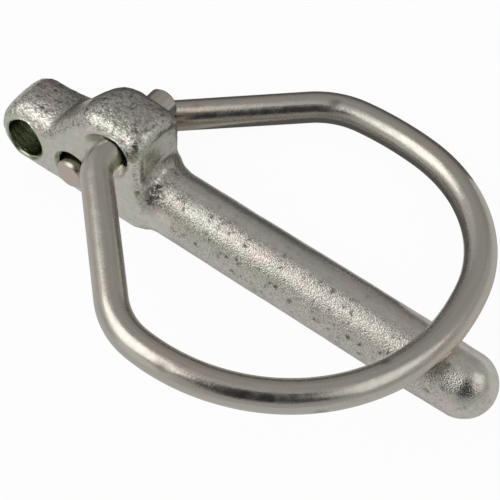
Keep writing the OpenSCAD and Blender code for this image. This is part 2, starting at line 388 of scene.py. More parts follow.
def lug_field(x, y, z, s):
    """A round bar with an end that follows the chain hole."""
    half, bar_r = s.head_w / 2, s.lug_d / 2
    behind_hole = np.minimum(x - CHAIN_HOLE[0], 0)
    behind_tip = np.minimum(x - LUG_TIP_X, 0)
    end = barrel(behind_hole, y, z - CHAIN_HOLE[2], *LUG_END, half)
    tip = barrel(behind_tip, y, z - LUG_Z, bar_r - LUG_TIP_CUT, LUG_TIP_CROWN, half)
    bar = np.sqrt(y * y + (z - LUG_Z) ** 2) - bar_r
    return round_max(bar, round_max(end, tip, LUG_CORNER_R), LUG_EDGE_R)


def boss_field(x, y, z, s):
    """Up the ramp, up the slope and along the top."""
    half = s.head_w / 2
    start = (CHAIN_HOLE[0] + RAMP_AHEAD, LUG_Z + bar_half_height(s) - RAMP_SUNK)
    crest = (-THROAT - CREST_BEHIND, BOSS_TOP)
    low = crowned_back(x, y, z, start, RAMP_TILT, half)
    slope = crowned_back(x - SLOPE_SKEW * y, y, z, crest, SLOPE_TILT, half)
    top = crowned_back(x, y, z, (-THROAT, BOSS_TOP - TOP_FALL), TOP_TILT, half)
    boss = round_min(low, round_max(slope, top, CREST_R), RAMP_FILL_R)
    return np.maximum(boss, start[0] - RAMP_BEHIND - x)


def turned_field(x, y, z, s):
    """The flare, the shaft and the nose, round about the pin's axis."""
    about = np.sqrt(y * y + z * z)
    shaft_r = s.shaft_d / 2
    nose_r = shaft_r - NOSE_TAPER
    round_x = s.grip_l + s.nose_l - nose_r
    into_flare = np.clip(-x, 0, THROAT)
    flare = shaft_r + FLARE_R - np.sqrt(FLARE_R**2 - into_flare**2)
    taper = shaft_r - NOSE_TAPER * np.clip((x - s.grip_l) / (round_x - s.grip_l), 0, 1)
    side = about - np.where(x < 0, flare, taper)
    tip = np.sqrt((x - round_x) ** 2 + about**2) - nose_r
    return np.maximum(np.where(x < round_x, side, tip), -FLARE_END - x)


def underside_field(x, y, z, s):
    """What the round underside of the head leaves."""
    corner = LUG_Z - bar_half_height(s) + BELLY_DEPTH
    belly_r = ((s.head_w / 2) ** 2 + corner**2) / (2 * corner)
    middle = belly_r - BELLY_DEPTH
    freed = BELLY_FREED * ramp(x, -4.0, 1.5)
    return np.where(z < middle, np.sqrt(y * y + (z - middle) ** 2), np.abs(y)) - belly_r - freed


def forging_field(p, s):
    """The pin before drilling."""
    x, y, z = p[..., 0], p[..., 1], p[..., 2]
    flats = np.abs(y) - s.head_w / 2
    wall = round_max(flats, x + THROAT + WALL_DRAFT * (z - WALL_Z), WALL_EDGE_R)
    head = round_min(lug_field(x, y, z, s), boss_field(x, y, z, s), BOSS_FILL_R)
    head = round_max(head, wall, WALL_TOP_R)
    pin = round_min(head, turned_field(x, y, z, s), THROAT_R)
    belly_edge = BELLY_EDGE_R * (1 - ramp(x, -4.0, 0.5)) + NO_R
    flat_edge = FLAT_EDGE_R * (1 - ramp(x, -5.0, -1.0)) + NO_R
    return round_max(round_max(pin, underside_field(x, y, z, s), belly_edge), flats, flat_edge)


def drilled_field(p, s):
    """The three drilled holes, chamfered at the flat sides."""
    x, y, z = p[..., 0], p[..., 1], p[..., 2]
    chamfer = np.maximum(np.abs(y) - s.head_w / 2 + HOLE_CHAMFER, 0)
    bores = ((CHAIN_HOLE[[0, 2]], CHAIN_HOLE_R), (UPPER_HOLE, RING_HOLE_R), (LOWER_HOLE, RING_HOLE_R))
    holes = [np.sqrt((x - at[0]) ** 2 + (z - at[1]) ** 2) - r - chamfer for at, r in bores]
    return np.minimum.reduce(holes)


def mouths_field(p, s):
    """The wide mouths where the wire enters, one on each flat side."""
    x, y, z = p[..., 0], p[..., 1], p[..., 2]
    mouths = []
    for at, way in ((UPPER_HOLE, -1), (LOWER_HOLE, 1)):
        middle = at + way * MOUTH_SHIFT
        past_flat = way * y - s.head_w / 2
        about = np.sqrt((x - middle[0]) ** 2 + (z - middle[1]) ** 2)
        cone = (about - MOUTH_R - MOUTH_SLANT * past_flat) / math.hypot(1, MOUTH_SLANT)
        mouths.append(np.maximum(cone, -past_flat - MOUTH_DEPTH))
    return np.minimum.reduce(mouths)


def pin_field(p, s):
    """The finished pin, without the relief of its skin."""
    body = round_max(forging_field(p, s), -mouths_field(p, s), MOUTH_EDGE_R)
    return np.maximum(body, -drilled_field(p, s))


# -------------------- surface from a field

CORNER_HOLD = 0.08      # how firmly a corner is held to the middle of its cell's crossings
CELLS_ROUND = ((0, 0), (-1, 0), (-1, -1), (0, -1))      # the four cells round an edge of the grid
SHARP_EDGE = 40.0       # degrees


def slope_of(field, p, step=0.01):
    """Unit direction in which the field rises."""
    g = np.empty_like(p)
    for k in range(3):
        d = np.zeros(3)
        d[k] = step
        g[:, k] = field(p + d) - field(p - d)
    return g / np.maximum(np.linalg.norm(g, axis=1, keepdims=True), 1e-12)


def sampled(field, axes):
    """The field's values on a grid."""
    values = np.empty([len(a) for a in axes], np.float32)
    yy, zz = np.meshgrid(axes[1], axes[2], indexing="ij")
    for i, x in enumerate(axes[0]):
        values[i] = field(np.stack([np.full_like(yy, x), yy, zz], -1))
    return values


def crossings(values, axes, step, axis):
    """Grid edges along an axis that the surface cuts, where it cuts them, and which start outside."""
    first, second = [slice(None)] * 3, [slice(None)] * 3
    first[axis], second[axis] = slice(None, -1), slice(1, None)
    here, there = values[tuple(first)], values[tuple(second)]
    edges = np.argwhere((here < 0) != (there < 0))
    v0 = here[tuple(edges.T)].astype(float)
    v1 = there[tuple(edges.T)].astype(float)
    p = np.stack([axes[k][edges[:, k]] for k in range(3)], -1)
    p[:, axis] += step * v0 / (v0 - v1)
    return edges, p, v0 >= 0


def cells_round(edges, axis, cell_shape):
    """Numbers of the four cells round each grid edge along an axis."""
    numbers = []
    for shift in CELLS_ROUND:
        cell = edges.copy()
        cell[:, (axis + 1) % 3] += shift[0]
        cell[:, (axis + 2) % 3] += shift[1]
        numbers.append((cell[:, 0] * cell_shape[1] + cell[:, 1]) * cell_shape[2] + cell[:, 2])
    return np.stack(numbers, -1)


def tangent_meets(spots, normals, index):
    """Where the tangent planes of each cell's crossings meet, from the middle of the crossings."""
    count = np.bincount(index).astype(float)
    mean = np.stack([np.bincount(index, spots[:, k]) for k in range(3)], -1) / count[:, None]
    away = (normals * (spots - mean[index])).sum(1)
    square = np.empty((len(count), 3, 3))
    right = np.empty((len(count), 3))
    for a in range(3):
        right[:, a] = np.bincount(index, normals[:, a] * away)
        for b in range(3):
            square[:, a, b] = np.bincount(index, normals[:, a] * normals[:, b])
    square += np.eye(3) * CORNER_HOLD
    return mean, np.linalg.solve(square, right[:, :, None])[:, :, 0]


def surface_of(field, low, high, step):
    """Corners and four-sided faces of a field's surface. Sharp edges stay sharp."""
    axes = [np.arange(a, b + step, step) for a, b in zip(low, high)]
    values = sampled(field, axes)
    cell_shape = np.array(values.shape) - 1
    spots, normals, cells, quads = [], [], [], []
    for axis in range(3):
        edges, p, outside = crossings(values, axes, step, axis)
        around = cells_round(edges, axis, cell_shape)
        spots += [p] * 4
        normals += [slope_of(field, p)] * 4
        cells += list(around.T)
        quads.append(np.where(outside[:, None], around[:, ::-1], around))
    used, index = np.unique(np.concatenate(cells), return_inverse=True)
    mean, shift = tangent_meets(np.concatenate(spots), np.concatenate(normals), index)
    return mean + np.clip(shift, -step, step), np.searchsorted(used, np.concatenate(quads))


def corner_normals(corners, quads):
    """Smooth normals at the corners of a mesh."""
    a = corners[quads[:, 2]] - corners[quads[:, 0]]
    b = corners[quads[:, 3]] - corners[quads[:, 1]]
    face = np.cross(a, b)
    total = np.zeros_like(corners)
    for k in range(4):
        for j in range(3):
            total[:, j] += np.bincount(quads[:, k], face[:, j], len(corners))
    return total / np.maximum(np.linalg.norm(total, axis=1, keepdims=True), 1e-12)


def make_mesh(name, corners, faces, floats, vectors):
    """A smooth-shaded mesh from row positions, with named values at its corners."""
    mesh = bpy.data.meshes.new(name)
    mesh.vertices.add(len(corners))
    mesh.vertices.foreach_set("co", corners.astype(np.float32).ravel())
    sizes = np.array([len(face) for face in faces], np.int32)
    around = np.concatenate(faces).astype(np.int32)
    mesh.loops.add(len(around))
    mesh.loops.foreach_set("vertex_index", around)
    mesh.polygons.add(len(sizes))
    mesh.polygons.foreach_set("loop_start", (np.cumsum(sizes) - sizes).astype(np.int32))
    mesh.update(calc_edges=True)
    mesh.validate()
    mesh.shade_smooth()
    mesh.set_sharp_from_angle(angle=math.radians(SHARP_EDGE))
    for key, values in floats.items():
        data = mesh.attributes.new(key, "FLOAT", "POINT").data
        data.foreach_set("value", values.astype(np.float32))
    for key, values in vectors.items():
        data = mesh.attributes.new(key, "FLOAT_VECTOR", "POINT").data
        data.foreach_set("vector", values.astype(np.float32).ravel())
    obj = bpy.data.objects.new(name, mesh)
    bpy.context.scene.collection.objects.link(obj)
    return obj


# -------------------- node helpers

WHITE = (1.0, 1.0, 1.0)


class Nodes:
    """The nodes of a material or a world."""

    def __init__(self, owner, output):
        owner.use_nodes = True
        self.owner = owner
        self.tree = owner.node_tree
        self.tree.nodes.clear()
        self.out = self.add(output)

    def add(self, kind, values=(), **facts):
        node = self.tree.nodes.new(kind)
        for key, value in facts.items():
            setattr(node, key, value)
        for key, value in dict(values).items():
            self.set(node.inputs[key], value)
        return node

    def set(self, socket, value):
        """Link a socket, or give it a value or a colour."""
        if isinstance(value, bpy.types.NodeSocket):
            self.tree.links.new(value, socket)
        elif socket.type == "RGBA":
            socket.default_value = (*value, 1.0)
        else:
            socket.default_value = value

    def finish(self, shader):
        """Link the last shader to the output."""
        self.set(self.out.inputs[0], shader.outputs[0])
        return self.owner

    def attribute(self, name, kind="Fac"):
        return self.add("ShaderNodeAttribute", attribute_name=name).outputs[kind]

    def scaled(self, vector, scale):
        return self.add("ShaderNodeVectorMath", {0: vector, 1: scale}, operation="MULTIPLY").outputs[0]

    def noise(self, vector, scale, detail=2.0, rough=0.5, output="Fac"):
        values = {"Vector": vector, "Scale": scale, "Detail": detail, "Roughness": rough}
        return self.add("ShaderNodeTexNoise", values).outputs[output]

    def pebbles(self, vector, scale):
        values = {"Vector": vector, "Scale": scale}
        return self.add("ShaderNodeTexVoronoi", values, feature="SMOOTH_F1").outputs["Distance"]

    def math(self, kind, a, b, clamp=False):
        return self.add("ShaderNodeMath", {0: a, 1: b}, operation=kind, use_clamp=clamp).outputs[0]

    def times(self, a, b):
        return self.math("MULTIPLY", a, b)

    def ranged(self, value, low, high, to_low=0.0, to_high=1.0):
        values = {"Value": value, "From Min": low, "From Max": high, "To Min": to_low, "To Max": to_high}
        return self.add("ShaderNodeMapRange", values, clamp=True).outputs[0]

    def patches(self, vector, kind, low=0.0, high=1.0):
        """Soft patches of noise, low between them and high where they are full."""
        return self.ranged(self.noise(vector, *kind[:3]), *kind[3:], low, high)

    def mix(self, share, a, b):
        """A share of colour b over colour a."""
        values = {0: share, 6: a, 7: b}
        return self.add("ShaderNodeMix", values, data_type="RGBA", clamp_factor=True).outputs[2]

    def mix_value(self, share, a, b):
        return self.add("ShaderNodeMix", {0: share, 2: a, 3: b}).outputs[0]

    def bump(self, height, strength, distance):
        values = {"Height": height, "Strength": strength, "Distance": distance}
        return self.add("ShaderNodeBump", values).outputs[0]

    def metal(self, colour, roughness, normal):
        values = {"Base Color": colour, "Metallic": 1.0, "Roughness": roughness, "Normal": normal}
        return self.finish(self.add("ShaderNodeBsdfPrincipled", values))


def material_nodes(name):
    return Nodes(bpy.data.materials.new(name), "ShaderNodeOutputMaterial")


# -------------------- finishes
# Scales are in features to a millimetre. Shares are the most that a colour covers.
# Patches: scale, detail and roughness of the noise, and where a patch starts and is full.

GREEN_PATCHES, GREEN_SHARE = (0.15, 3.0, 0.6, 0.46, 0.66), 0.75
PINK_PATCHES, PINK_SHARE = (0.2, 3.0, 0.6, 0.5, 0.68), 0.8
DULL_PATCHES, DULL_SHARE = (0.8, 4.0, 0.65, 0.38, 0.68), 0.26
# Patches that break up the painted shade and grime in hollows
SHADE_AND_DIRT_FILM = (0.9, 4.0, 0.6, 0.35, 0.6)
DIRT_SPECKS, SPECK_SHARE = (1.7, 3.0, 0.6, 0.445, 0.495), 0.95
ROUGH_PATCHES, SKIN_ROUGH = (1.1, 3.0, 0.5, 0.3, 0.7), (0.17, 0.27)
SHAFT_GREEN = 0.55                      # share of the head's green that the shaft has
GREEN_FADE = (-2.0, 8.0)                # from the head to the shaft, in millimetres along the pin
CREASE_FADE = (-2.0, 6.0)
CREASE_SHARE = (0.64, 0.47)             # on the head and on the shaft
CREASE_EDGE = (0.54, 0.86)
GRAIN_EDGE = (0.1, 0.9)
MIRRORED = (1.0, -1.0, 1.0)             # keeps the pink patches apart from the green ones
WARP_SCALE, WARP_MM = 0.9, (0.6, 0.6, 0.6)
PEBBLE_SCALE = 3.6
FINE_GRAIN = (4.2, 4.0, 0.65)
SKIN_RELIEF = (0.07, 0.5)               # of smooth skin, and what full grain adds
SKIN_BUMP = 0.1 * MM
# The painted shade and grime make those places rougher too
DIRT_AND_SHADE_ROUGH = 0.25                       # what dirt adds to the roughness
DRILL_GROOVES, GROOVES_ALONG = (1.0, 3.0), (0.5, 4.0, 0.5)
GROOVE_EDGE, GROOVE_RELIEF = (0.38, 0.62), 1.2
BORE_SHARE = 0.85

WARM_PATCHES, PATCHES_ALONG = (0.35, 3.0, 0.6, 0.42, 0.68), (0.6, 0.6, 0.25)
WIRE_MARKS, MARKS_ALONG = (3.0, 3.0, 0.6), (1.0, 1.0, 0.06)     # drawn out along the wire
MARK_EDGE, MARK_SHARE = (0.35, 0.75), 0.3
WIRE_WAVES = (2.2, 3.0)
NICK_SHARE = 0.6
WIRE_ROUGH_PATCHES, WIRE_ROUGH = (0.7, 3.0, 0.5, 0.3, 0.7), (0.19, 0.31)
CUT_END_ROUGH = 0.35
WIRE_BUMP, WIRE_BUMP_SHARE = 0.08 * MM, 0.35


def plating(n, place, along, colours):
    """Zinc whose tints drift in soft patches."""
    green = n.patches(place, GREEN_PATCHES, 0.0, GREEN_SHARE)
    green = n.times(green, n.ranged(along, *GREEN_FADE, 1.0, SHAFT_GREEN))
    pink = n.patches(n.scaled(place, MIRRORED), PINK_PATCHES, 0.0, PINK_SHARE)
    dull = n.patches(place, DULL_PATCHES, 0.0, DULL_SHARE)
    colour = n.mix(green, colours.zinc[:], colours.zinc_green[:])
    return n.mix(dull, n.mix(pink, colour, colours.zinc_pink[:]), colours.zinc_dull[:])


def blasted_skin(n, place):
    """The two sizes of the pebbled skin: rounded grains, and finer grain over them."""
    warp = n.scaled(n.noise(place, WARP_SCALE, output="Color"), WARP_MM)
    drawn = n.attribute("grain_mm", "Vector")
    bent = n.add("ShaderNodeVectorMath", {0: drawn, 1: warp}, operation="ADD").outputs[0]
    return n.pebbles(bent, PEBBLE_SCALE), n.noise(bent, *FINE_GRAIN)


def crease_shade_share(n, pebbles, fine, grain, along):
    """Painted shade in each crease between the grains, stronger on the head."""
    crease_shade = n.ranged(n.math("ADD", n.times(fine, 0.6), n.times(pebbles, 0.8)), *CREASE_EDGE)
    crease_shade = n.times(crease_shade, n.ranged(grain, *GRAIN_EDGE))
    return n.times(crease_shade, n.ranged(along, *CREASE_FADE, *CREASE_SHARE))


def dirt_and_shade_share(n, place):
    """Painted shade and grime in hollows and where the shaft meets the head, and grime in the deep pits,
    broken up into specks.
    """
    # Painted shade and grime in hollows, darker the more closed in a place is
    dirt_and_shade_in_hollows = n.math("MULTIPLY", n.attribute("hollow"), n.patches(place, SHADE_AND_DIRT_FILM), clamp=True)
    # Grime in the craters, and painted shade with grime where the shaft meets the head
    in_pits_and_junction_shade = n.times(n.attribute("pit_dirt_and_junction_shade"), n.patches(place, DIRT_SPECKS, 0.0, SPECK_SHARE))
    return n.math("MAXIMUM", dirt_and_shade_in_hollows, in_pits_and_junction_shade, clamp=True)


def forged_zinc(colours):
    """Plated and passivated forging: a pebbled skin with painted shade between its grains, soft tints,
    grime in pits, and painted shade with grime in hollows.
    """
    n = material_nodes("forged_zinc")
    place = n.attribute("pin_mm", "Vector")
    along = n.add("ShaderNodeSeparateXYZ", {0: place}).outputs["X"]
    grain = n.attribute("grain")
    drilled = n.attribute("drilled")
    pebbles, fine = blasted_skin(n, place)
    dirt_and_shade = dirt_and_shade_share(n, place)
    colour = plating(n, place, along, colours)
    # Painted shade between the grains
    colour = n.mix(crease_shade_share(n, pebbles, fine, grain, along), colour, colours.crease_shade[:])
    # Painted shade and grime in hollows and where the shaft meets the head, and grime in pits
    colour = n.mix(dirt_and_shade, colour, colours.dirt_and_shade[:])
    # Grooves that the drill left round each hole
    grooves = n.noise(n.scaled(place, GROOVES_ALONG), *DRILL_GROOVES)
    bore = n.mix(n.ranged(grooves, *GROOVE_EDGE), colours.bore_dark[:], colours.bore_light[:])
    colour = n.mix(n.times(drilled, BORE_SHARE), colour, bore)
    rough = n.patches(place, ROUGH_PATCHES, *SKIN_ROUGH)
    rough = n.math("ADD", rough, n.times(dirt_and_shade, DIRT_AND_SHADE_ROUGH))
    relief = n.math("ADD", SKIN_RELIEF[0], n.times(grain, SKIN_RELIEF[1]))
    height = n.times(n.math("SUBTRACT", n.times(fine, 0.9), pebbles), relief)
    height = n.math("ADD", height, n.times(grooves, n.times(drilled, GROOVE_RELIEF)))
    return n.metal(colour, rough, n.bump(height, 1.0, SKIN_BUMP))


def drawn_wire(colours):
    """Smooth plated wire with faint drawing marks along it, a few nicks, and plain cut ends."""
    n = material_nodes("drawn_wire")
    place = n.attribute("wire_mm", "Vector")
    side = n.attribute("side")
    warm = n.patches(n.scaled(place, PATCHES_ALONG), WARM_PATCHES)
    marks = n.noise(n.scaled(place, MARKS_ALONG), *WIRE_MARKS)
    colour = n.mix(warm, colours.wire[:], colours.wire_warm[:])
    colour = n.mix(n.ranged(marks, *MARK_EDGE, 0.0, MARK_SHARE), colour, colours.wire_marks[:])
    colour = n.mix(side, colours.wire_warm[:], colour)
    colour = n.mix(n.times(n.attribute("nick"), NICK_SHARE), colour, colours.dirt_and_shade[:])
    rough = n.mix_value(side, CUT_END_ROUGH, n.patches(place, WIRE_ROUGH_PATCHES, *WIRE_ROUGH))
    height = n.math("ADD", n.times(marks, 0.6), n.times(n.noise(place, *WIRE_WAVES), 0.5))
    return n.metal(colour, rough, n.bump(n.times(height, side), WIRE_BUMP_SHARE, WIRE_BUMP))


# -------------------- the wire's path
# Lengths in millimetres and turns in degrees, in the pin's own axes

RING_RISE, RING_BANK = 0.016, 0.025     # the ring's plane rises along the shaft and across it
RING_GAP = 0.1                          # between the shaft and the wire over it
RING_X, RING_OFFSET = 47.8, 2.1         # the ring's far point, along and across the shaft
FRONT_TOE = 5.7                         # how far the wire's start is turned off the shaft's way
SIDE_BENDS = ((31.5, 90 + FRONT_TOE), (44.6, 9.1), (23.2, 72.8), (49.0, 14.1))      # radius, turn
FRONT_BEND_R, BACK_BEND_R, ELBOW_R = 11.9, 17.2, 5.2
ELBOW_GAP = 0.5                         # between the head's flat sides and the wire
UPPER_STUB, LOWER_STUB = 2.8, 1.2       # how far the ends stand out of the head
PLAY = 0.3                              # how far the wire sits off its hole's middle
TO_BACK = np.array([0.0, 1.0, 0.0])
PATH_STEP = 0.45
WIRE_STEP = 0.42
WIRE_SIDES = 44
CHAMFER_SLOPE = 0.92
WAVES_PER_MM, WAVE_DEPTH = (0.35, 0.35, 0.06), 0.012    # features to a millimetre round and along the wire
NICKS_PER_MM, NICK_DEPTH = (0.55, 0.55, 0.4), 0.05


def unit(v):
    return v / np.linalg.norm(v)


def turned_about(v, axis, angle):
    """v turned about a unit axis."""
    c, s = math.cos(angle), math.sin(angle)
    return v * c + np.cross(axis, v) * s + axis * axis.dot(v) * (1 - c)


class WirePath:
    """Points along the middle of the wire, a fraction of a millimetre apart."""

    def __init__(self, start, heading):
        self.points, self.at, self.heading = [start], start, unit(heading)

    def straight(self, length):
        count = max(2, round(length / PATH_STEP))
        for k in range(1, count + 1):
            self.points.append(self.at + self.heading * length * k / count)
        self.at = self.points[-1]

    def bend(self, toward, r, angle):
        """Turns by an angle in radians, with its centre towards a direction."""
        toward = unit(toward - self.heading * toward.dot(self.heading))
        axis = np.cross(self.heading, toward)
        centre = self.at + toward * r
        count = max(3, round(r * angle / PATH_STEP))
        arm = self.at - centre
        for k in range(1, count + 1):
            self.points.append(centre + turned_about(arm, axis, angle * k / count))
        self.at = self.points[-1]
        self.heading = turned_about(self.heading, axis, angle)

    def arm(self, elbow, r, inward, end_l):
        """Bends towards an elbow, runs to it, turns in there and ends."""
        to = elbow - self.at
        side = unit(to - self.heading * to.dot(self.heading))
        ahead, off = to.dot(self.heading), to.dot(side) - r
        run = math.sqrt(ahead**2 + off**2 - r**2)
        turn = math.atan2(off, ahead) + math.atan2(r, run)
        run_way = math.cos(turn) * self.heading + math.sin(turn) * side
        elbow_turn = math.acos(run_way.dot(inward))
        elbow_l = ELBOW_R * math.tan(elbow_turn / 2)
        self.bend(side, r, turn)
        self.straight(run - elbow_l)
        self.bend(inward, ELBOW_R, elbow_turn)
        self.straight(end_l - elbow_l)


def ring_heading(degrees):
    """The direction in the ring's plane at an angle from the shaft's."""
    c, s = math.cos(math.radians(degrees)), math.sin(math.radians(degrees))
    return unit(np.array([c, s, RING_RISE * c + RING_BANK * s]))


def ring_start(s, forging):
    """Where the front arm leaves the ring."""
    r, turn = SIDE_BENDS[0]
    a0, a1 = math.radians(-FRONT_TOE), math.radians(turn - FRONT_TOE)
    x = RING_X - r * (math.sin(a1) - math.sin(a0))
    y = RING_OFFSET - r * (math.cos(a0) - math.cos(a1))
    z = forging.shaft_d / 2 + RING_GAP + s.wire_d / 2
    return np.array([x, y, z + RING_RISE * (x - RING_X) + RING_BANK * y])


def ring_path(s, forging):
    """The wire from its end behind the head, round the ring, to its end in front of the head."""
    half = forging.head_w / 2
    out = half + s.wire_d / 2 + ELBOW_GAP
    push = PLAY * math.sqrt(0.5) * np.array([-1, 1])
    upper, lower = UPPER_HOLE + push, LOWER_HOLE - push
    start = ring_start(s, forging)
    front = WirePath(start, -ring_heading(-FRONT_TOE))
    front.arm(np.array([upper[0], -out, upper[1]]), FRONT_BEND_R, TO_BACK, out + half + UPPER_STUB)
    back = WirePath(start, ring_heading(-FRONT_TOE))
    up = unit(np.array([-RING_RISE, -RING_BANK, 1.0]))
    for r, turn in SIDE_BENDS:
        back.bend(np.cross(up, back.heading), r, math.radians(turn))
    back.arm(np.array([lower[0], out, lower[1]]), BACK_BEND_R, -TO_BACK, out + half + LOWER_STUB)
    return np.array(front.points[::-1] + back.points[1:])


def stations_along(total, chamfer):
    """Even steps along the wire, with more of them at the cut ends."""
    ends = np.array([0.0, 0.5, 1.0, 1.5]) * chamfer
    body = np.linspace(chamfer * 2.2, total - chamfer * 2.2, round(total / WIRE_STEP))
    return np.concatenate([ends, body, total - ends[::-1]])


def wire_mesh(path, r, chamfer):
    """Corners, faces, the (round, round, along) place of each corner, and the way out there."""
    lengths = np.concatenate([[0], np.cumsum(np.linalg.norm(np.diff(path, axis=0), axis=1))])
    stations = stations_along(lengths[-1], chamfer)
    count = len(stations)
    middle = np.stack([np.interp(stations, lengths, path[:, k]) for k in range(3)], -1)
    way = np.gradient(middle, stations, axis=0)
    way /= np.linalg.norm(way, axis=1, keepdims=True)
    # A frame that rolls as little as it can along the wire
    side = unit(np.cross(way[0], [0.0, 0.0, 1.0]))
    sides = []
    for w in way:
        side = unit(side - w * side.dot(w))
        sides.append(side)
    sides = np.array(sides)
    other = np.cross(way, sides)
    from_end = np.minimum(stations, lengths[-1] - stations)
    radius = r - np.clip(chamfer - from_end, 0, chamfer) * CHAMFER_SLOPE
    turn = np.arange(WIRE_SIDES) / WIRE_SIDES * 2 * math.pi
    c, s = np.cos(turn), np.sin(turn)
    out = c[None, :, None] * sides[:, None] + s[None, :, None] * other[:, None]
    corners = (middle[:, None] + out * radius[:, None, None]).reshape(-1, 3)
    place = np.stack([np.tile(c * r, count), np.tile(s * r, count), np.repeat(stations, WIRE_SIDES)], -1)
    k, j = np.meshgrid(np.arange(count - 1) * WIRE_SIDES, np.arange(WIRE_SIDES), indexing="ij")
    nxt = (j + 1) % WIRE_SIDES
    quads = np.stack([k + j, k + nxt, k + WIRE_SIDES + nxt, k + WIRE_SIDES + j], -1).reshape(-1, 4)
    return corners, quads, place, out.reshape(-1, 3)


def end_fans(corners):
    """A middle corner for each cut end, and the three-sided faces round it."""
    first = np.arange(WIRE_SIDES)[::-1]
    last = np.arange(WIRE_SIDES) + len(corners) - WIRE_SIDES
    middles = np.array([corners[loop].mean(0) for loop in (first, last)])
    faces = []
    for end, loop in enumerate((first, last)):
        faces += [np.array([loop[k - 1], loop[k], len(corners) + end]) for k in range(WIRE_SIDES)]
    return middles, faces


# -------------------- the forging's skin
# Features to a millimetre along each of the pin's axes, then depths in millimetres

LUMPS_PER_MM = (0.16, 0.2, 0.2)
HOLLOWS_PER_MM = 0.45
RIDGES_PER_MM = (0.55, 0.4, 0.5)
BLAST_PER_MM = 0.9
CRATERS_PER_MM = 1.05
JUNCTION_PITS_PER_MM = 1.3
LINE_HEIGHT, LINE_WIDTH = 0.09, 0.3     # the dies' parting line
JUNCTION_DEPTH = 0.35                   # deep pits where the shaft meets the head
JUNCTION_AT = (-2.3, -4.2, 5.4)
JUNCTION_REACH = (1.4, 1.3, 1.5)
SKIN_BOX = ((-33.6, -7.0, -6.4), (0.7, 7.0, 17.0))      # room for the pin, the last x past its tip
BOX_MARGIN = 0.002 * MM                 # the skin stays this far inside the part's box
HOLE_EDGE = (0.1, 0.6)                  # the skin fades out over this distance from a drilled hole
DRILLED_EDGE = (0.0, 0.12)              # and the drilled finish over this one
ROOM, ROOM_FADE = 0.72, 0.45            # a place with less room than this, 1 mm out, is a hollow
GRAIN_ALONG = (0.6, 1.25)               # grain along the pin, on the head and on the shaft
GRAIN_FINER = 0.25                      # how much finer the shaft's grain is across the pin
# How dark the pits are painted: grime in the craters, and painted shade with grime where the shaft meets
# the head
CRATER_DIRT, JUNCTION_SHADE_AND_DIRT = 0.9, 1.4

# How much smoother than the head's back each place is
SMOOTHER = {
    "flat_side": 0.8,
    "shaft_back": 0.74,
    "shaft_below": 0.45,
    "nose": 0.5,
    "wall": 0.5,
    "mouth": 0.7,
}


def on_shaft(x):
    """0 on the head and 1 on the shaft."""
    return ramp(x, -3.0, 1.0)


def grain_over(corners, normals, hole_gap, mouth_gap, s):
    """How much blasted grain each corner has: most on the head's back and down the shaft's front."""
    x = corners[:, 0]
    places = {
        "flat_side": ramp(np.abs(normals[:, 1]), 0.8, 0.97) * (x < 2),
        "shaft_back": on_shaft(x) * (1 - ramp(-normals[:, 1], 0.0, 0.45)),
        "shaft_below": on_shaft(x) * ramp(-normals[:, 2], -0.2, 0.5),
        "nose": ramp(x, s.grip_l + 4, s.grip_l + 10),
        "wall": ramp(normals[:, 0], 0.3, 0.95) * (x < 0),
        "mouth": 1 - ramp(mouth_gap, 0.05, 0.3),
    }
    grain = ramp(hole_gap, *HOLE_EDGE)
    for place, share in places.items():
        grain = grain * (1 - SMOOTHER[place] * share)
    return grain


def parting_line(corners):
    """The ridge along the shaft and the flare where the two dies met, 1 at its crest."""
    x, y = corners[:, 0], corners[:, 1]
    off = y + 0.25 * smooth_noise(corners * 0.2, seed=41)
    uneven = 0.75 + 0.5 * smooth_noise(corners * 0.5, seed=43)
    return np.exp(-((off / LINE_WIDTH) ** 2)) * uneven * ramp(x, -5.5, -3.5) * (1 - 0.8 * ramp(x, 3.0, 9.0))


def relief_over(corners, grain, craters, junction, s):
    """How far the skin stands up at each corner, in millimetres."""
    head = 1 - on_shaft(corners[:, 0])
    lumps = layered_noise(corners * LUMPS_PER_MM, seed=3, layers=2)
    hollows = layered_noise(corners * HOLLOWS_PER_MM, seed=11)
    # Scale that was hammered in leaves facets with ridges between them
    ridges = 1 - 2.4 * np.abs(layered_noise(corners * RIDGES_PER_MM + 9.0, seed=61, layers=2))
    blast = layered_noise(corners * BLAST_PER_MM, seed=23, layers=2, gain=0.6)
    relief = s.dents * (0.8 * lumps + (0.8 * hollows + 0.8 * ridges - 0.5) * grain * head)
    relief += s.grain * grain * (blast * (0.35 + 0.65 * head) - 0.8 * craters * head)
    relief += LINE_HEIGHT * parting_line(corners)
    deep = 0.5 + pits(corners * JUNCTION_PITS_PER_MM, seed=57, fill=0.8)
    return relief - JUNCTION_DEPTH * junction * deep


# -------------------- operators


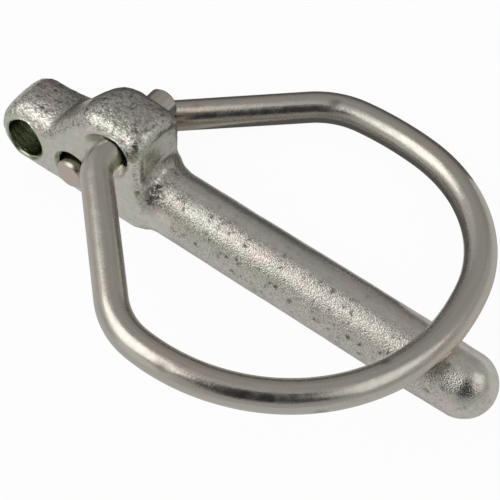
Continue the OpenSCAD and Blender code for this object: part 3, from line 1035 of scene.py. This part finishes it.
class LYNCHPIN_OT_forging(bpy.types.Operator):
    """Forge the pin: its head, shaft and nose, with drilled holes and blasted grain"""

    bl_idname = "lynchpin.forging"
    bl_label = "Forge the pin"

    def execute(self, context):
        s = in_mm(settings().forging)
        step = s.mesh_step * 1.0
        far_corner = np.array(SKIN_BOX[1]) + [s.grip_l + s.nose_l, 0, 0]
        corners, quads = surface_of(lambda p: pin_field(p, s), SKIN_BOX[0], far_corner, step)
        normals = corner_normals(corners, quads)
        x = corners[:, 0]
        hole_gap, mouth_gap = drilled_field(corners, s), mouths_field(corners, s)
        grain = grain_over(corners, normals, hole_gap, mouth_gap, s)
        craters = pits(corners * CRATERS_PER_MM, seed=31, fill=0.3)
        junction = np.exp(-(((corners - JUNCTION_AT) / JUNCTION_REACH) ** 2).sum(1))
        relief = relief_over(corners, grain, craters, junction, s) * ramp(hole_gap, *HOLE_EDGE)
        # How closed in a place is, from how little room there is 1 mm out
        room = pin_field(corners + normals, s)
        # The grain is drawn out along the head and finer on the shaft
        along, across = np.where(x < 0, *GRAIN_ALONG), 1 + GRAIN_FINER * on_shaft(x)
        low, high = (np.array(corner) for corner in CAD_BOX)
        row = to_row(corners + normals * relief[:, None])
        obj = make_mesh(
            "forged_pin", np.clip(row, low + BOX_MARGIN, high - BOX_MARGIN), quads,
            floats={
                "grain": grain,
                "drilled": 1 - ramp(hole_gap, *DRILLED_EDGE),
                # Where the material paints shade and grime: the more closed in, the darker
                "hollow": np.clip((ROOM - room) / ROOM_FADE, 0, 1),
                # Grime in the craters, and painted shade with grime where the shaft meets the head
                "pit_dirt_and_junction_shade": np.clip(CRATER_DIRT * grain * craters + JUNCTION_SHADE_AND_DIRT * junction, 0, 1),
            },
            vectors={"pin_mm": corners, "grain_mm": corners * np.stack([along, across, across], -1)},
        )
        obj.data.materials.append(forged_zinc(settings().finishes))
        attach(obj, "pin")
        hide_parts("pin")
        return {"FINISHED"}


class LYNCHPIN_OT_ring(bpy.types.Operator):
    """Bend the ring from one length of spring wire"""

    bl_idname = "lynchpin.ring"
    bl_label = "Bend the ring"

    def execute(self, context):
        s = in_mm(settings().ring)
        path = ring_path(s, in_mm(settings().forging))
        corners, quads, place, outward = wire_mesh(path, s.wire_d / 2, s.chamfer)
        # Waves and nicks in the wire, away from its cut ends
        wave = WAVE_DEPTH * (smooth_noise(place * WAVES_PER_MM, seed=71) - 1)
        nick = pits(place * NICKS_PER_MM, seed=83, fill=0.06) ** 2
        length = place[:, 2].max()
        from_end = np.minimum(place[:, 2], length - place[:, 2])
        corners += outward * ((wave - NICK_DEPTH * nick) * ramp(from_end, 0.6, 2.0))[:, None]
        middles, fans = end_fans(corners)
        obj = make_mesh(
            "wire_ring", to_row(np.vstack([corners, middles])), list(quads) + fans,
            floats={
                "nick": np.append(nick, [0, 0]),
                "side": np.append(ramp(from_end, 0.0, s.chamfer), [0, 0]),
            },
            vectors={"wire_mm": np.vstack([place, [0, 0, 0], [0, 0, length]])},
        )
        obj.data.materials.append(drawn_wire(settings().finishes))
        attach(obj, "ring")
        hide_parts("ring")
        return {"FINISHED"}


# -------------------- the stage

CAMERA_RIGHT = Vector((0.81786, 0.56717, -0.09712))
CAMERA_DOWN = Vector((0.51169, -0.79404, -0.32814))
CAMERA_AHEAD = Vector((-0.26322, 0.21867, -0.93963))
SENSOR = 36.0
FLOOR_W = 3.0
FLOOR_GAP = 0.02 * MM       # between the floor and the pin's lowest point
FLOOR_COLOUR = (0.72, 0.72, 0.72)
FLOOR_SEEN = 0.955          # share of white in the floor where the camera sees it
FLOOR_MIRRORED = 0.1        # and where metal shows it
WORLD_LIGHT = 0.55
WORLD_SEEN = 1.0
MAT_LIFT = 0.1 * MM

# Softboxes: azimuth, elevation, width and height in degrees. The key is over the head's front,
# the fill over the tip's back.
LAMP_REACH = 0.7
KEY = (-150, 58, 48, 42)
FILL = (22, 43, 48, 32)

# Cards: azimuth, elevation, width and height in degrees, strength, and distance in metres.
# Dark behind the camera, grey walls round about, and a plain surround that closes their gaps.
CARDS = {
    "dark_wall": (-41, 58, 60, 56, 0.03, 0.7),
    "surround_top": (0, 90, 84, 84, 0.47, 0.93),
    **{f"surround_{k}": (45 * k, 18, 50, 66, 0.45, 0.95) for k in range(8)},
    "roof": (110, 82, 34, 24, 0.5, 0.8),
    "back_wall": (100, 46, 84, 42, 0.40, 0.8),
    "back_low_wall": (112, 10, 92, 32, 0.33, 0.79),
    "front_low_wall": (-45, 10, 80, 34, 0.46, 0.8),
    "left_low_wall": (-140, 10, 80, 32, 0.50, 0.8),
    "front_left_low": (-112, 14, 30, 34, 0.72, 0.77),
    "key_skirt": (-146, 31, 70, 14, 0.80, 0.75),
    "head_wall": (172, 30, 36, 50, 0.52, 0.8),
    "right_low_wall": (28, 10, 60, 32, 0.43, 0.8),
}

# Mats on the floor that only reflections see: width and depth, strength, and place, in metres. The dark one
# behind is painted shadow of the floor there.
MATS = {
    "front_mat": (0.4245, 0.4986, 0.62, (-0.14, -0.258)),
    "shadow_mat_behind": (0.4040, 0.5543, 0.13, (-0.165, 0.29)),
}


def spread(degrees, reach):
    """The width that fills an angle at a distance."""
    return 2 * reach * math.tan(math.radians(degrees / 2))


def face_aim(obj, aim, azimuth, elevation, reach, axis):
    """Stand something at a distance from the aim, facing it. Azimuths run anticlockwise from the tip."""
    a, e = math.radians(azimuth), math.radians(elevation)
    way = Vector((math.cos(e) * math.cos(a), math.cos(e) * math.sin(a), math.sin(e)))
    obj.location = aim + way * reach
    obj.rotation_euler = (-way).to_track_quat(axis, "Y").to_euler()


def sheet(name, wide, high, strength):
    """A flat sheet that only reflections see: it lights nothing and throws no shadow."""
    mesh = bpy.data.meshes.new(name)
    w, h = wide / 2, high / 2
    mesh.from_pydata([(-w, -h, 0), (w, -h, 0), (w, h, 0), (-w, h, 0)], [], [(0, 1, 2, 3)])
    obj = bpy.data.objects.new(name, mesh)
    bpy.context.scene.collection.objects.link(obj)
    n = material_nodes(name)
    glow = n.add("ShaderNodeEmission", {"Color": WHITE, "Strength": strength})
    mesh.materials.append(n.finish(glow))
    obj.visible_camera = obj.visible_diffuse = obj.visible_shadow = obj.visible_transmission = False
    return obj


def softbox(name, aim, azimuth, elevation, wide, high, strength):
    """A lamp with a face of an even strength, where 1 is white. Sizes in degrees."""
    data = bpy.data.lights.new(name, "AREA")
    data.shape = "RECTANGLE"
    data.size, data.size_y = spread(wide, LAMP_REACH), spread(high, LAMP_REACH)
    data.energy = strength * math.pi * data.size * data.size_y
    obj = bpy.data.objects.new(name, data)
    bpy.context.scene.collection.objects.link(obj)
    face_aim(obj, aim, azimuth, elevation, LAMP_REACH, "-Z")


def add_floor(z):
    """A pale floor that keeps a shadow, and is near white where it is seen."""
    bpy.ops.mesh.primitive_plane_add(size=FLOOR_W, location=(0, 0, z))
    floor = bpy.context.object
    floor.name = "floor"
    n = material_nodes("floor")
    ray = n.add("ShaderNodeLightPath").outputs
    white = n.add("ShaderNodeEmission", {"Color": WHITE, "Strength": 1.0})
    paper = n.add("ShaderNodeBsdfDiffuse", {"Color": FLOOR_COLOUR})
    mirrored = n.math("MAXIMUM", ray["Is Glossy Ray"], ray["Is Transmission Ray"])
    share = n.math("MAXIMUM", n.times(ray["Is Camera Ray"], FLOOR_SEEN), n.times(mirrored, FLOOR_MIRRORED))
    mix = n.add("ShaderNodeMixShader", {0: share, 1: paper.outputs[0], 2: white.outputs[0]})
    floor.data.materials.append(n.finish(mix))


def add_world(scene):
    """Plain light, and white where the world is seen or reflected."""
    scene.world = bpy.data.worlds.new("studio")
    n = Nodes(scene.world, "ShaderNodeOutputWorld")
    ray = n.add("ShaderNodeLightPath").outputs
    mirrored = n.math("MAXIMUM", ray["Is Glossy Ray"], ray["Is Transmission Ray"])
    seen = n.math("MAXIMUM", ray["Is Camera Ray"], mirrored)
    level = n.ranged(seen, 0.0, 1.0, WORLD_LIGHT, WORLD_SEEN)
    n.finish(n.add("ShaderNodeBackground", {"Color": WHITE, "Strength": level}))


def add_camera(scene, studio):
    data = bpy.data.cameras.new("camera")
    data.lens, data.sensor_width = studio.lens, SENSOR
    data.clip_start, data.clip_end = 0.01, 10.0
    camera = bpy.data.objects.new("camera", data)
    scene.collection.objects.link(camera)
    turn = Matrix((CAMERA_RIGHT, -CAMERA_DOWN, -CAMERA_AHEAD)).transposed()
    camera.matrix_world = Matrix.Translation(studio.camera_at) @ turn.to_4x4()
    scene.camera = camera


class LYNCHPIN_OT_stage(bpy.types.Operator):
    """Set up the floor, the soft light, the cards and the camera"""

    bl_idname = "lynchpin.stage"
    bl_label = "Set the stage"

    def execute(self, context):
        studio = settings().studio
        scene = bpy.context.scene
        scene.view_settings.view_transform = "Standard"
        low, high = CAD_BOX
        middle = (low + high) / 2
        aim = Vector((middle[0], middle[1], 0.0))
        add_floor(low.z - FLOOR_GAP)
        add_world(scene)
        add_camera(scene, studio)
        softbox("key", aim, *KEY, studio.key)
        softbox("fill", aim, *FILL, studio.fill)
        for name, (azimuth, elevation, wide, tall, strength, reach) in CARDS.items():
            card = sheet(name, spread(wide, reach), spread(tall, reach), strength)
            face_aim(card, aim, azimuth, elevation, reach, "Z")
        for name, (wide, deep, strength, at) in MATS.items():
            mat = sheet(name, wide, deep, strength)
            mat.location = (*at, low.z + MAT_LIFT)
        return {"FINISHED"}


class LYNCHPIN_PT_panel(bpy.types.Panel):
    """Sizes, finishes and steps of the lynch pin"""

    bl_idname = "LYNCHPIN_PT_panel"
    bl_label = "Lynch pin"
    bl_space_type = "VIEW_3D"
    bl_region_type = "UI"
    bl_category = "Lynch pin"

    def draw(self, context):
        layout = self.layout
        for group in (settings().forging, settings().ring, settings().finishes, settings().studio):
            box = layout.box()
            for key in own_properties(group):
                box.prop(group, key)
        for step in STEPS:
            layout.operator(step.bl_idname)


class LynchPinSettings(bpy.types.PropertyGroup):
    """Everything that a user can change"""

    forging: PointerProperty(type=ForgingSizes)
    ring: PointerProperty(type=RingSizes)
    finishes: PointerProperty(type=Finishes)
    studio: PointerProperty(type=StudioSettings)


STEPS = (LYNCHPIN_OT_forging, LYNCHPIN_OT_ring, LYNCHPIN_OT_stage)
CLASSES = (ForgingSizes, RingSizes, Finishes, StudioSettings, LynchPinSettings, *STEPS, LYNCHPIN_PT_panel)


def register():
    for c in CLASSES:
        bpy.utils.register_class(c)
    bpy.types.Scene.lynch_pin = PointerProperty(type=LynchPinSettings)


def unregister():
    del bpy.types.Scene.lynch_pin
    for c in reversed(CLASSES):
        bpy.utils.unregister_class(c)


def main():
    register()
    bpy.ops.lynchpin.forging()
    bpy.ops.lynchpin.ring()
    bpy.ops.lynchpin.stage()


if __name__ == "__main__":
    main()
